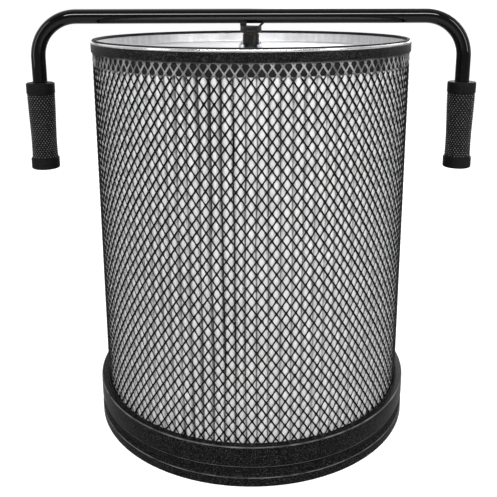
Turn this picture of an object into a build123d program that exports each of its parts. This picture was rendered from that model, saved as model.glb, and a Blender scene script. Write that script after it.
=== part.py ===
from build123d import *
from math import asin, cos, pi, radians, sin
import os

# Canister filter of a dust collector, in millimetres.
# Z is up and is the centreline that the handle turns about. Z = 0 is the lower lip of the base
# ring. X runs along the handle, from the left grip to the right one, and -Y is the front.

# ---- Driving dimensions ----

# Cage and filter media
cage_radius = 239.5
cage_wall = 1.2
pleat_count = 96
pleat_depth = 41.5
pleat_fold = 3.2
media_thickness = 0.9
seam_width = 12.0
seam_thickness = 0.6
seam_angle = 194.0
seam_to_pleats = 0.3

# Base ring, pressed from sheet
base_sheet = 1.5
base_bend = 1.6
shoulder_width = 12.0
shoulder_height = 62.0
groove_top = 31.0
groove_bottom = 14.0
groove_depth = 5.0
channel_depth = 14.0
channel_gap = 0.5
lower_potting_depth = 9.0
potting_margin = 1.0
gasket_width = 27.0
gasket_thickness = 8.0

# Lid, band and trim
rim_height = 600.0
band_sheet = 1.8
band_height = 12.0
bead_height = 4.0
bead_stand = 0.5
bead_round = 1.7
lid_sheet = 1.2
lid_recess = 18.0
upper_potting_depth = 15.0
edging_thickness = 1.2
edging_rise = 1.8
edging_skirt = 2.6
edging_round = 0.6

# Bearing housing on the lid
flange_side = 38.0
flange_thickness = 4.0
flange_corner = 3.0
post_diameter = 25.0
post_height = 20.4
stud_diameter = 5.0
stud_spacing = 27.0
stud_reach = 5.0
stud_head_diameter = 10.0
stud_head_height = 2.5
nut_flats = 8.0
nut_thickness = 4.0
nut_turn = 13.0
washer_diameter = 9.6
washer_thickness = 1.0
backing_side = 60.0
backing_thickness = 3.0
bush_diameter = 18.0
bush_flange = 23.0
bush_flange_thickness = 1.5

# Shaft and what is on it
shaft_diameter = 12.0
thrust_thickness = 1.2
thrust_diameter = 24.0
collar_flats = 28.6
collar_height = 10.0
retainer_diameter = 24.0
retainer_height = 9.0
set_screw_diameter = 5.0
set_screw_socket = 2.5
set_screw_sink = 0.6

# Handle
tube_diameter = 22.0
tube_wall = 1.6
tube_bend = 62.0
hand_room = 89.5
saddle_gap = 3.3
saddle_depth = 16.0
saddle_lug = 10.0
saddle_gusset = 4.5
grip_drop = 236.6
grip_length = 136.0
grip_collar_diameter = 43.5
grip_collar_height = 17.0
grip_top_diameter = 41.0
grip_waist_diameter = 38.0
grip_end_wall = 5.0
grip_round = 2.2
grip_neck_round = 0.9

# Arms, paddles and flaps inside
arm_height = 30.0
arm_thickness = 4.0
arm_boss_diameter = 26.0
upper_arm_drop = 26.0
lower_arm_rise = 30.0
arm_end_gap = 1.0
paddle_thickness = 3.0
paddle_width = 36.0
paddle_set_back = 9.0
paddle_end_gap = 8.0
flap_thickness = 3.0
flap_width = 30.0
flap_media_gap = 1.5
clamp_thickness = 2.0
clamp_width = 18.0
rivet_diameter = 4.0
rivet_head = 8.0
rivet_head_height = 1.6
rivet_count = 8
arm_bolt_diameter = 6.0
arm_bolt_spacing = 16.0
arm_bolt_reach_past_nut = 2.0
bolt_flats = 10.0
bolt_head_height = 4.0

# Lower bearing
crossbar_width = 30.0
crossbar_thickness = 4.0
boss_diameter = 28.0
boss_height = 14.0
boss_drop = 4.0
crossbar_lap = 14.0
lower_bush_wall = 3.0
crossbar_rivet_spacing = 18.0

# Clearances
fit_clearance = 0.1
bore_clearance = 0.05
running_clearance = 0.06
turning_gap = 0.5

# ---- Places that follow from them ----

base_radius = cage_radius + shoulder_width
cage_inner = cage_radius - cage_wall
pleat_outer = cage_inner - fit_clearance - seam_thickness - seam_to_pleats
pleat_inner = pleat_outer - pleat_depth
channel_floor = shoulder_height - channel_depth
channel_under = channel_floor - base_sheet
channel_outer = cage_radius + channel_gap
channel_inner = pleat_inner - potting_margin
lower_potting_top = channel_floor + lower_potting_depth

lid_top = rim_height - lid_recess
lid_under = lid_top - lid_sheet
upper_potting_bottom = lid_under - upper_potting_depth
band_top = rim_height - bead_height
band_bottom = band_top - band_height
cage_top = band_top - band_sheet - fit_clearance
cage_bottom = channel_floor + base_bend / 4
pan_radius = cage_inner - 2 * fit_clearance
band_inner = cage_radius + 2 * fit_clearance
band_outer = band_inner + band_sheet

flange_top = lid_top + flange_thickness
post_top = flange_top + post_height
backing_under = lid_under - backing_thickness
thrust_bottom = post_top + bush_flange_thickness + fit_clearance
collar_bottom = thrust_bottom + thrust_thickness + fit_clearance
collar_top = collar_bottom + collar_height
tube_axis = collar_top + saddle_gap + tube_diameter / 2
leg_reach = cage_radius + hand_room
grip_bottom = tube_axis - grip_drop
leg_bottom = grip_bottom + grip_end_wall + fit_clearance

upper_arm_top = upper_potting_bottom - upper_arm_drop
lower_arm_bottom = lower_potting_top + lower_arm_rise
flap_tip = pleat_inner - flap_media_gap
flap_root = flap_tip - flap_width
paddle_outer = flap_tip - paddle_set_back
paddle_inner = paddle_outer - paddle_width
paddle_bottom = lower_potting_top + paddle_end_gap
paddle_top = upper_potting_bottom - paddle_end_gap
crossbar_top = channel_under
crossbar_bottom = crossbar_top - crossbar_thickness
crossbar_reach = channel_inner + crossbar_lap
crossbar_rivet_reach = channel_inner + crossbar_lap / 2
boss_bottom = crossbar_bottom - boss_drop
shaft_bottom = boss_bottom + lower_bush_wall + turning_gap
retainer_top = backing_under - turning_gap - thrust_thickness - fit_clearance

LOW = (Align.CENTER, Align.CENTER, Align.MIN)
FRONT = Rot(90, 0, 0)


# ---- Shapes used by several sub-parts ----

def rod(diameter, low, high, x=0.0, y=0.0):
    """A round bar standing on end between two heights."""
    return Pos(x, y, low) * Cylinder(diameter / 2, high - low, align=LOW)


def ring(inner, outer, low, high):
    """A plain ring about the centreline, from its two radii and two heights."""
    return rod(2 * outer, low, high) - rod(2 * inner, low - 1, high + 1)


def block(x_range, y_range, z_range):
    """A box from its lowest and highest value along each axis."""
    (x0, x1), (y0, y1), (z0, z1) = x_range, y_range, z_range
    size = Box(x1 - x0, y1 - y0, z1 - z0)
    return Pos((x0 + x1) / 2, (y0 + y1) / 2, (z0 + z1) / 2) * size


def turned(points):
    """A closed outline of (radius, height) points turned about the centreline."""
    outline = make_face(Polyline(*points, close=True))
    return revolve(Plane.XZ * outline, Axis.Z, 360)


def turned_sheet(points, thickness, bend):
    """Bent sheet turned about the centreline. The points are on the middle of the sheet."""
    middle = FilletPolyline(*points, radius=bend)
    return revolve(Plane.XZ * trace(middle, line_width=thickness), Axis.Z, 360)


def front_rod(diameter, y_low, y_high, x, z):
    """A round bar lying along Y."""
    bar = FRONT * Cylinder(diameter / 2, y_high - y_low)
    return Pos(x, (y_low + y_high) / 2, z) * bar


def hexagon(flats, low, high, x=0.0, y=0.0, turn=0.0):
    """A hexagonal prism standing on end, chamfered at the top."""
    outline = RegularPolygon(flats / 2, 6, major_radius=False, rotation=turn)
    prism = extrude(Pos(x, y, low) * outline, high - low)
    rim = flats * 0.56
    cone = Cone(rim + flats, rim, flats, align=(Align.CENTER, Align.CENTER, Align.MAX))
    return prism & (Pos(x, y, high) * cone)


def four_corners(spacing):
    """The four points of a square pattern about the centreline."""
    half = spacing / 2
    return [(x, y) for x in (-half, half) for y in (-half, half)]


def half_turn(shape):
    """The same piece on the other side of the shaft."""
    return Rot(0, 0, 180) * shape


# ---- Base ----

def base_ring():
    half = base_sheet / 2
    wall = base_radius - half
    groove = wall - groove_depth
    points = [
        (channel_inner - half, shoulder_height),
        (channel_inner - half, channel_floor - half),
        (channel_outer + half, channel_floor - half),
        (channel_outer + half, shoulder_height - half),
        (wall, shoulder_height - half),
        (wall, groove_top),
        (groove, groove_top - groove_depth / 2),
        (groove, groove_bottom + groove_depth / 2),
        (wall, groove_bottom),
        (wall, 0.0),
    ]
    ring_body = turned_sheet(points, base_sheet, base_bend)
    for x, y in crossbar_rivet_places():
        hole = rod(rivet_diameter + 2 * bore_clearance, crossbar_top - 1, channel_floor + 1, x, y)
        ring_body -= hole
    return ring_body


def base_gasket():
    outer = base_radius - base_sheet - groove_depth
    return ring(outer - gasket_width, outer, channel_under - gasket_thickness, channel_under)


def bottom_potting():
    resin = ring(channel_inner + fit_clearance, cage_inner - fit_clearance,
                 channel_floor, lower_potting_top)
    lower_edges = resin.edges().filter_by(GeomType.CIRCLE).group_by(Axis.Z)[0]
    resin = chamfer(lower_edges.sort_by(SortBy.RADIUS)[0], base_bend)
    for x, y in crossbar_rivet_places():
        resin -= rod(rivet_head + 2 * fit_clearance, channel_floor - 1,
                     channel_floor + rivet_head_height + fit_clearance, x, y)
    return resin


def crossbar_rivet_places():
    half = crossbar_rivet_spacing / 2
    return [(side * crossbar_rivet_reach, y) for side in (-1, 1) for y in (-half, half)]


def bottom_crossbar():
    bar = block((-crossbar_reach, crossbar_reach), (-crossbar_width / 2, crossbar_width / 2),
                (crossbar_bottom, crossbar_top))
    bar = fillet(bar.edges().filter_by(Axis.Z), crossbar_width / 6)
    bar += rod(boss_diameter, boss_bottom, boss_bottom + boss_height)
    bar -= rod(bush_diameter + 2 * bore_clearance, boss_bottom + lower_bush_wall,
               boss_bottom + boss_height + 1)
    for x, y in crossbar_rivet_places():
        bar -= rod(rivet_diameter + 2 * bore_clearance, crossbar_bottom - 1, crossbar_top + 1, x, y)
    return bar


def crossbar_rivets():
    rivets = []
    for x, y in crossbar_rivet_places():
        shank = rod(rivet_diameter, crossbar_bottom, channel_floor, x, y)
        low = rod(rivet_head, crossbar_bottom - rivet_head_height, crossbar_bottom, x, y)
        low = fillet(low.edges().group_by(Axis.Z)[0], rivet_head_height * 0.8)
        high = rod(rivet_head, channel_floor, channel_floor + rivet_head_height, x, y)
        rivets.append(shank + low + high)
    return rivets


def lower_bush():
    low = boss_bottom + lower_bush_wall
    return ring(shaft_diameter / 2 + running_clearance, bush_diameter / 2, low, boss_bottom + boss_height)


# ---- Cage and media ----

def outer_mesh():
    return ring(cage_inner, cage_radius, cage_bottom, cage_top)


def mesh_seam_strip():
    outer = cage_inner - fit_clearance
    strip = ring(outer - seam_thickness, outer, lower_potting_top, upper_potting_bottom)
    window = block((0, cage_radius + 1), (-seam_width / 2, seam_width / 2), (0, rim_height))
    return strip & (Rot(0, 0, seam_angle) * window)


def pleat_outline(outer, inner, outer_fold, inner_fold):
    """A star-shaped closed outline whose points and valleys have flat folds of the given widths."""
    points = []
    for count in range(pleat_count):
        middle = 2 * pi * count / pleat_count
        valley = middle + pi / pleat_count
        for radius, angle, width in ((outer, middle, outer_fold), (inner, valley, inner_fold)):
            half_angle = asin(width / 2 / radius)
            for side in (-1, 1):
                a = angle + side * half_angle
                points.append((radius * cos(a), radius * sin(a)))
    return make_face(Polyline(*points, close=True))


def filter_pleats():
    t = media_thickness
    outside = pleat_outline(pleat_outer, pleat_inner + t, pleat_fold, pleat_fold - 2 * t)
    inside = pleat_outline(pleat_outer - t, pleat_inner, pleat_fold - 2 * t, pleat_fold)
    sheet = Pos(0, 0, lower_potting_top) * (outside - inside)
    return extrude(sheet, upper_potting_bottom - lower_potting_top)


def top_potting():
    return ring(pleat_inner - potting_margin, pan_radius, upper_potting_bottom, lid_under)


# ---- Lid ----

def lid_plate():
    half = lid_sheet / 2
    points = [
        (bush_diameter / 2 + bore_clearance, lid_top - half),
        (pan_radius - half, lid_top - half),
        (pan_radius - half, rim_height - edging_thickness),
    ]
    pan = turned_sheet(points, lid_sheet, 2 * lid_sheet)
    for x, y in four_corners(stud_spacing):
        pan -= rod(stud_diameter + 2 * fit_clearance, lid_under - 1, lid_top + 1, x, y)
    return pan


def top_band():
    outline = [
        (band_inner, band_bottom),
        (band_outer, band_bottom),
        (band_outer, band_top),
        (pan_radius + fit_clearance, band_top),
        (pan_radius + fit_clearance, band_top - band_sheet),
        (band_inner, band_top - band_sheet),
    ]
    return turned(outline)


def rim_edging():
    top = rim_height + edging_rise
    slot_inner = pan_radius - lid_sheet - fit_clearance
    slot_outer = pan_radius + fit_clearance
    slot_top = rim_height - edging_thickness + fit_clearance
    inner = slot_inner - edging_thickness
    outer = pan_radius + edging_thickness
    outline = [
        (inner, rim_height - edging_skirt),
        (slot_inner, rim_height - edging_skirt),
        (slot_inner, slot_top),
        (slot_outer, slot_top),
        (slot_outer, band_top + fit_clearance),
        (outer, band_top + fit_clearance),
        (outer, top - edging_round),
        (outer - edging_round, top),
        (inner + edging_round, top),
        (inner, top - edging_round),
    ]
    return turned(outline)


def lid_bead():
    """A rolled ring whose outer corners are rounded in short flats."""
    inner = pan_radius + edging_thickness + fit_clearance
    middle = band_outer + bead_stand - bead_round
    outline = [(inner, rim_height), (inner, band_top)]
    for height, angles in ((band_top + bead_round, (-90, -60, -30, 0)),
                           (rim_height - bead_round, (0, 30, 60, 90))):
        for angle in angles:
            a = radians(angle)
            outline.append((middle + bead_round * cos(a), height + bead_round * sin(a)))
    return turned(outline)


# ---- Bearing housing on the lid ----

def hub_housing():
    flange = block((-flange_side / 2, flange_side / 2), (-flange_side / 2, flange_side / 2),
                   (lid_top, flange_top))
    flange = fillet(flange.edges().filter_by(Axis.Z), flange_corner)
    body = flange + rod(post_diameter, flange_top, post_top)
    body -= rod(bush_diameter + 2 * bore_clearance, lid_top - 1, post_top + 1)
    for x, y in four_corners(stud_spacing):
        body -= rod(stud_diameter + 2 * fit_clearance, lid_top - 1, flange_top + 1, x, y)
    return body


def upper_bush():
    sleeve = ring(shaft_diameter / 2 + running_clearance, bush_diameter / 2, backing_under, post_top)
    sleeve += ring(shaft_diameter / 2 + running_clearance, bush_flange / 2, post_top,
                   post_top + bush_flange_thickness)
    return sleeve


def lid_backing_plate():
    half = backing_side / 2
    plate = block((-half, half), (-half, half), (backing_under, lid_under))
    plate = fillet(plate.edges().filter_by(Axis.Z), flange_corner * 2)
    plate -= rod(bush_diameter + 2 * bore_clearance, backing_under - 1, lid_under + 1)
    for x, y in four_corners(stud_spacing):
        plate -= rod(stud_diameter + 2 * fit_clearance, backing_under - 1, lid_under + 1, x, y)
    return plate


def hub_studs():
    studs = []
    nut_top = flange_top + washer_thickness + nut_thickness
    for x, y in four_corners(stud_spacing):
        shank = rod(stud_diameter, backing_under, nut_top + stud_reach, x, y)
        shank = chamfer(shank.edges().group_by(Axis.Z)[-1], stud_diameter / 10)
        head = rod(stud_head_diameter, backing_under - stud_head_height, backing_under, x, y)
        head = fillet(head.edges().group_by(Axis.Z)[0], stud_head_height * 0.8)
        studs.append(shank + head)
    return studs


def hub_washers():
    return [
        rod(washer_diameter, flange_top, flange_top + washer_thickness, x, y)
        - rod(stud_diameter + 2 * bore_clearance, flange_top - 1,
              flange_top + washer_thickness + 1, x, y)
        for x, y in four_corners(stud_spacing)
    ]


def hub_nuts():
    nuts = []
    low = flange_top + washer_thickness
    for count, (x, y) in enumerate(four_corners(stud_spacing)):
        nut = hexagon(nut_flats, low, low + nut_thickness, x, y, turn=nut_turn * count)
        hole = rod(stud_diameter + 2 * bore_clearance, low - 1, low + nut_thickness + 1, x, y)
        nuts.append(nut - hole)
    return nuts


# ---- Shaft and what is on it ----

def drive_shaft():
    shaft = rod(shaft_diameter, shaft_bottom, collar_top - fit_clearance)
    return chamfer(shaft.edges().filter_by(GeomType.CIRCLE), shaft_diameter / 16)


def thrust_washers():
    bore = shaft_diameter / 2 + bore_clearance
    upper = ring(bore, thrust_diameter / 2, thrust_bottom, thrust_bottom + thrust_thickness)
    low = retainer_top + fit_clearance
    lower = ring(bore, thrust_diameter / 2, low, low + thrust_thickness)
    return [upper, lower]


def set_screw_hole(height, outer):
    """A hole from the front of a collar to the shaft."""
    return front_rod(set_screw_diameter + 2 * bore_clearance, -outer, 0, 0, height)


def set_screw(height, outer):
    """A socket set screw that bears on the shaft, with its face just below the collar's."""
    face = -outer + set_screw_sink
    screw = front_rod(set_screw_diameter, face, -shaft_diameter / 2 - fit_clearance, 0, height)
    key = RegularPolygon(set_screw_socket / 2, 6, major_radius=False)
    socket = FRONT * extrude(key, set_screw_socket, both=True)
    return screw - Pos(0, face, height) * socket


def handle_collar():
    collar = hexagon(collar_flats, collar_bottom, collar_top)
    collar -= rod(shaft_diameter + 2 * bore_clearance, collar_bottom - 1, collar_top + 1)
    return collar - set_screw_hole((collar_bottom + collar_top) / 2, collar_flats)


def collar_set_screw():
    return set_screw((collar_bottom + collar_top) / 2, collar_flats / 2)


def retaining_collar():
    collar = ring(shaft_diameter / 2 + bore_clearance, retainer_diameter / 2,
                  retainer_top - retainer_height, retainer_top)
    return collar - set_screw_hole(retainer_top - retainer_height / 2, retainer_diameter)


def retaining_screw():
    return set_screw(retainer_top - retainer_height / 2, retainer_diameter / 2)


# ---- Handle ----

def handle_path():
    return FilletPolyline(
        (-leg_reach, leg_bottom),
        (-leg_reach, tube_axis),
        (leg_reach, tube_axis),
        (leg_reach, leg_bottom),
        radius=tube_bend,
    )


def swept_handle(diameter):
    """A round bar of the given diameter along the handle's centreline."""
    path = Plane.XZ * handle_path()
    end = Plane(origin=(-leg_reach, 0, leg_bottom), z_dir=(0, 0, 1))
    return sweep(end * Circle(diameter / 2), path=path)


def handle_tube():
    return swept_handle(tube_diameter) - swept_handle(tube_diameter - 2 * tube_wall)


def handle_grip(side):
    """A moulded rubber sleeve with a closed lower end, pushed over one leg of the handle."""
    top = grip_bottom + grip_length
    bore = tube_diameter / 2 + bore_clearance
    collar = grip_collar_diameter / 2
    low_neck = grip_bottom + grip_collar_height
    high_neck = top - grip_collar_height
    third = (high_neck - low_neck) / 3
    waist = Spline(
        (grip_waist_diameter / 2 + 0.4, low_neck),
        (grip_waist_diameter / 2, low_neck + third),
        (grip_top_diameter / 2 - 0.6, high_neck - third),
        (grip_top_diameter / 2, high_neck),
    )
    lower = Polyline((0, grip_bottom), (collar, grip_bottom), (collar, low_neck), waist @ 0)
    upper = Polyline(waist @ 1, (collar, high_neck), (collar, top), (0, top), (0, grip_bottom))
    outline = make_face(Curve() + [lower, waist, upper])
    for height, radius in ((grip_bottom, grip_round), (low_neck, grip_neck_round),
                           (high_neck, grip_neck_round), (top, grip_round)):
        rim = outline.vertices().sort_by_distance((collar, height))[0]
        outline = fillet(rim, radius)
    body = revolve(Plane.XZ * outline, Axis.Z, 360)
    body -= rod(2 * bore, grip_bottom + grip_end_wall, top + 1)
    return Pos(side * leg_reach, 0, 0) * body


def left_grip():
    return handle_grip(-1)


def right_grip():
    return handle_grip(1)


def handle_saddle():
    """A lug on the left and a leaning gusset on the right, from the collar up to the tube."""
    half = saddle_depth / 2
    edge = collar_flats / 2 / cos(radians(30))
    middle = tube_axis
    lug = block((-edge, -edge + saddle_lug), (-half, half), (collar_top, middle))
    lean = tube_axis - collar_top
    gusset_outline = make_face(Polyline(
        (edge - saddle_gusset, collar_top),
        (edge, collar_top),
        (edge + lean, middle),
        (edge + lean - saddle_gusset, middle),
        close=True,
    ))
    gusset = extrude(Plane.XZ * gusset_outline, half, both=True)
    bar = Cylinder(tube_diameter / 2 + bore_clearance / 2, 4 * leg_reach)
    room = Pos(0, 0, tube_axis) * Rot(0, 90, 0) * bar
    return [lug - room, gusset - room]


# ---- Arms, paddles and flaps ----

def arm_bolt_places(bottom):
    """Heights of the two bolts at each end of an arm."""
    middle = bottom + arm_height / 2
    return [middle - arm_bolt_spacing / 2, middle + arm_bolt_spacing / 2]


def arm_bolt_reach():
    return (paddle_inner + flap_root) / 2


def sweeper_arm(bottom):
    """A flat bar on edge with a boss in the middle that is pinched on the shaft."""
    end = flap_root - arm_end_gap
    bar = block((-end, end), (-arm_thickness / 2, arm_thickness / 2), (bottom, bottom + arm_height))
    bar = fillet(bar.edges().filter_by(Axis.Y), arm_height / 10)
    arm = bar + rod(arm_boss_diameter, bottom, bottom + arm_height)
    arm -= rod(shaft_diameter + 2 * bore_clearance, bottom - 1, bottom + arm_height + 1)
    arm -= set_screw_hole(bottom + arm_height / 2, arm_boss_diameter)
    for z in arm_bolt_places(bottom):
        for side in (-1, 1):
            arm -= front_rod(arm_bolt_diameter + 2 * fit_clearance, -arm_thickness, arm_thickness,
                             side * arm_bolt_reach(), z)
    return arm


def upper_arm():
    return sweeper_arm(upper_arm_top - arm_height)


def lower_arm():
    return sweeper_arm(lower_arm_bottom)


def arm_set_screws():
    middles = (lower_arm_bottom + arm_height / 2, upper_arm_top - arm_height / 2)
    return [set_screw(z, arm_boss_diameter / 2) for z in middles]


def all_arm_bolt_heights():
    return arm_bolt_places(lower_arm_bottom) + arm_bolt_places(upper_arm_top - arm_height)


def arm_bolts():
    """Hexagon bolts through arm and paddle bar, heads on the arm's side."""
    bolts = []
    head_face = -arm_thickness / 2
    nut_face = arm_thickness / 2 + paddle_thickness
    for z in all_arm_bolt_heights():
        tip = nut_face + bolt_head_height + arm_bolt_reach_past_nut
        shank = front_rod(arm_bolt_diameter, head_face, tip, arm_bolt_reach(), z)
        head = FRONT * extrude(RegularPolygon(bolt_flats / 2, 6, major_radius=False), bolt_head_height)
        bolt = shank + Pos(arm_bolt_reach(), head_face, z) * head
        bolts += [bolt, half_turn(bolt)]
    return bolts


def arm_nuts():
    nuts = []
    face = arm_thickness / 2 + paddle_thickness
    for z in all_arm_bolt_heights():
        outline = RegularPolygon(bolt_flats / 2, 6, major_radius=False)
        nut = Pos(arm_bolt_reach(), face + bolt_head_height, z) * FRONT * extrude(outline, bolt_head_height)
        nut -= front_rod(arm_bolt_diameter + 2 * bore_clearance, 0, 10 * face, arm_bolt_reach(), z)
        nuts += [nut, half_turn(nut)]
    return nuts


def flap_rivet_heights():
    step = (paddle_top - paddle_bottom) / rivet_count
    return [paddle_bottom + step * (count + 0.5) for count in range(rivet_count)]


def flap_rivet_reach():
    return flap_root + clamp_width / 2


def drill_for_rivets(strip):
    for z in flap_rivet_heights():
        strip -= front_rod(rivet_diameter + 2 * bore_clearance, 0, 40, flap_rivet_reach(), z)
    return strip


def paddle_bar():
    """A flat bar that stands behind the arms' ends and carries the flap."""
    low = arm_thickness / 2
    bar = block((paddle_inner, paddle_outer), (low, low + paddle_thickness), (paddle_bottom, paddle_top))
    bar = fillet(bar.edges().filter_by(Axis.Y), paddle_width / 12)
    for z in all_arm_bolt_heights():
        bar -= front_rod(arm_bolt_diameter + 2 * fit_clearance, 0, 10, arm_bolt_reach(), z)
    return drill_for_rivets(bar)


def flap():
    """A rubber strip whose free edge brushes past the pleats."""
    low = arm_thickness / 2 + paddle_thickness
    strip = block((flap_root, flap_tip), (low, low + flap_thickness), (paddle_bottom, paddle_top))
    return drill_for_rivets(strip)


def clamp_strip():
    low = arm_thickness / 2 + paddle_thickness + flap_thickness
    strip = block((flap_root, flap_root + clamp_width), (low, low + clamp_thickness),
                  (paddle_bottom, paddle_top))
    return drill_for_rivets(strip)


def flap_rivets():
    rivets = []
    low = arm_thickness / 2
    high = low + paddle_thickness + flap_thickness + clamp_thickness
    x = flap_rivet_reach()
    for z in flap_rivet_heights():
        rivet = front_rod(rivet_diameter, low - rivet_head_height, high + rivet_head_height, x, z)
        rivet += front_rod(rivet_head, low - rivet_head_height, low, x, z)
        rivet += front_rod(rivet_head, high, high + rivet_head_height, x, z)
        rivets += [rivet, half_turn(rivet)]
    return rivets


def right_paddle_bar():
    return paddle_bar()


def left_paddle_bar():
    return half_turn(paddle_bar())


def right_flap():
    return flap()


def left_flap():
    return half_turn(flap())


def right_clamp_strip():
    return clamp_strip()


def left_clamp_strip():
    return half_turn(clamp_strip())


# ---- Every sub-part, in the order it is put together ----

SUB_PARTS = [
    base_ring, base_gasket, bottom_crossbar, crossbar_rivets, lower_bush, bottom_potting,
    filter_pleats, mesh_seam_strip, outer_mesh, top_potting, lid_plate, top_band, rim_edging,
    lid_bead, lid_backing_plate, hub_housing, upper_bush, hub_studs, hub_washers, hub_nuts,
    drive_shaft, thrust_washers, retaining_collar, retaining_screw, handle_collar,
    collar_set_screw, handle_saddle, handle_tube, left_grip, right_grip, upper_arm, lower_arm,
    arm_set_screws, arm_bolts, arm_nuts, left_paddle_bar, right_paddle_bar, left_flap,
    right_flap, left_clamp_strip, right_clamp_strip, flap_rivets,
]


def solids_of(made):
    """The separate solids of a sub-part, whether it is one piece or a list of like pieces."""
    pieces = made if isinstance(made, (list, tuple)) else [made]
    return [solid for piece in pieces for solid in piece.solids()]


os.makedirs("parts", exist_ok=True)
for sub_part in SUB_PARTS:
    solids = solids_of(sub_part())
    shape = solids[0] if len(solids) == 1 else Compound(children=solids)
    shape.label = sub_part.__name__
    export_step(shape, os.path.join("parts", sub_part.__name__ + ".step"))
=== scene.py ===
from math import cos, pi, radians, sin, tan

import bmesh
import bpy
from mathutils import Matrix, Quaternion, Vector


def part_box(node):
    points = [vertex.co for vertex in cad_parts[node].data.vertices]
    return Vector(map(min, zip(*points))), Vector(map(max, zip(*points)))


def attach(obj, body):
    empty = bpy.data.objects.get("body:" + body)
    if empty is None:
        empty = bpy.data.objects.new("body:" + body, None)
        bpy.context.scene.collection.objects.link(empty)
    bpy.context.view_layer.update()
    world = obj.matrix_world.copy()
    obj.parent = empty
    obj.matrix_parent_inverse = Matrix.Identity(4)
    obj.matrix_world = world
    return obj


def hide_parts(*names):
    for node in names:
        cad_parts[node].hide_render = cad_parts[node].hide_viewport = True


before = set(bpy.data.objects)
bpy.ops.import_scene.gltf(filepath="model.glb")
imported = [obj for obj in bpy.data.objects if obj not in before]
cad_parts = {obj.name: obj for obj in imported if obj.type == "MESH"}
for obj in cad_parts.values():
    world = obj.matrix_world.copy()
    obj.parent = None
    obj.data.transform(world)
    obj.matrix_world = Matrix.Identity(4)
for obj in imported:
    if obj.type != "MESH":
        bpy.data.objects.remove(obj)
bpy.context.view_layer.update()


# ---- Base ring ----
# The foot that the canister stands on and that the collector's clamp strap pulls down. It is
# pressed and rolled from 1.5 mm sheet steel: a channel on top holds the cage, and a groove
# round the wall takes the strap. It is powder coated black all over.

MM = 0.001
base_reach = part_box("base_ring")[1].x / MM
base_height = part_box("base_ring")[1].z / MM
base_sheet = 1.5
base_bend = 1.6
channel_inside, channel_outside, channel_floor = 194.05, 240.75, 47.25
groove_low, groove_high, groove_depth = 14.0, 31.0, 5.0


def rounded(points, radius, closed=False, steps=5):
    """The points with an arc of that radius, or of its own radius, at each corner."""
    count = len(points)
    radii = [radius] * count if isinstance(radius, (int, float)) else list(radius)
    smooth = []
    for place, point in enumerate(points):
        corner = Vector(point)
        if not closed and place in (0, count - 1) or radii[place] == 0:
            smooth.append(corner)
            continue
        back = (Vector(points[place - 1]) - corner).normalized()
        on = (Vector(points[(place + 1) % count]) - corner).normalized()
        half = back.angle(on) / 2
        centre = corner + (back + on).normalized() * radii[place] / sin(half)
        first = corner + back * radii[place] / tan(half) - centre
        last = corner + on * radii[place] / tan(half) - centre
        smooth += [centre + first.slerp(last, step / steps).normalized() * radii[place]
                   for step in range(steps + 1)]
    return smooth


def bent_sheet(points, thickness, bend):
    """The closed outline of a bent sheet, from the corners of its middle line."""
    middle = rounded(points, bend)
    sides = ([], [])
    for place, point in enumerate(middle):
        along = middle[min(place + 1, len(middle) - 1)] - middle[max(place - 1, 0)]
        across = Vector((-along.y, along.x)).normalized() * thickness / 2
        sides[0].append(point + across)
        sides[1].append(point - across)
    return sides[0] + sides[1][::-1]


def finish_mesh(mesh, material, sharp=35):
    """Closes the seams, turns the faces outwards and shades the mesh smooth up to its sharp edges."""
    shape = bmesh.new()
    shape.from_mesh(mesh)
    bmesh.ops.remove_doubles(shape, verts=shape.verts, dist=1e-6)
    bmesh.ops.recalc_face_normals(shape, faces=shape.faces)
    shape.to_mesh(mesh)
    shape.free()
    mesh.shade_smooth()
    mesh.set_sharp_from_angle(angle=radians(sharp))
    mesh.materials.clear()
    mesh.materials.append(material)
    return mesh


def placed(name, mesh, body, slot, *nodes):
    """The finished piece, riding on its body in the place of its CAD nodes."""
    piece = bpy.data.objects.new(name, mesh)
    bpy.context.scene.collection.objects.link(piece)
    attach(piece, body)
    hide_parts(*nodes)
    return piece


def turned(name, outline, segments=288):
    """A mesh turned about the centreline from a closed outline of (radius, height) in mm."""
    corners = []
    for turn in range(segments):
        angle = 2 * pi * turn / segments
        corners += [(r * sin(angle) * MM, -r * cos(angle) * MM, z * MM) for r, z in outline]
    n = len(outline)
    faces = []
    for turn in range(segments):
        here, there = turn * n, (turn + 1) % segments * n
        for k in range(n):
            j = (k + 1) % n
            faces.append((here + k, there + k, there + j, here + j))
    mesh = bpy.data.meshes.new(name)
    mesh.from_pydata(corners, [], faces)
    return mesh


def add(tree, kind, inputs=None, **settings):
    """A node of that kind with its settings made and its inputs linked or filled in."""
    made = tree.nodes.new(kind)
    for key, value in settings.items():
        setattr(made, key, value)
    for key, value in (inputs or {}).items():
        if isinstance(value, bpy.types.NodeSocket):
            tree.links.new(value, made.inputs[key])
        else:
            made.inputs[key].default_value = value
    return made


def calc(tree, operation, *values):
    """The result of one sum on numbers or sockets."""
    return add(tree, "ShaderNodeMath", dict(enumerate(values)), operation=operation).outputs[0]


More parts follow.
